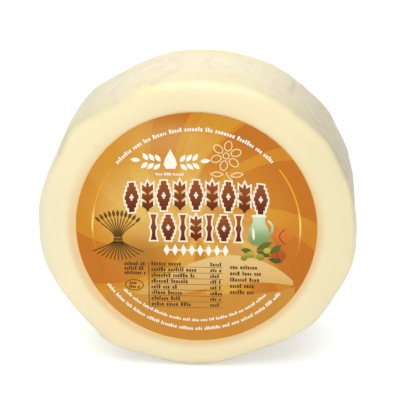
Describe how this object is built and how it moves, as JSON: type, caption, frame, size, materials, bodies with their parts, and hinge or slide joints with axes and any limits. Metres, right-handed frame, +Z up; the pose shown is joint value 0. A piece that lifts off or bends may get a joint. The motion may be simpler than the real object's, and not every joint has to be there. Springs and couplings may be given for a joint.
{
  "type": "kashkaval cheese wheel",
  "caption": "Whole small wheel of kashkaval cheese in skin-tight clear film, with a round printed label on its face, standing on its edge.",
  "frame": {"origin": "under the middle of the bounding box, on the surface that the wheel stands on", "axes": "+Z up, Y along the wheel's axis with the label facing -Y, +X to the right seen from the label's side"},
  "size_m": [0.1912, 0.0926, 0.1793],
  "materials": {
    "cheese": "pale cream pressed cheese with a soft, faintly mottled surface",
    "film": "thin clear vacuum film, glossy, drawn tight with fine wrinkles on the side wall",
    "label": "amber and orange printed paper with a satin varnish"
  },
  "bodies": {
    "root": {"wrapped_cheese": "cheese", "label": "label"}
  },
  "joints": []
}
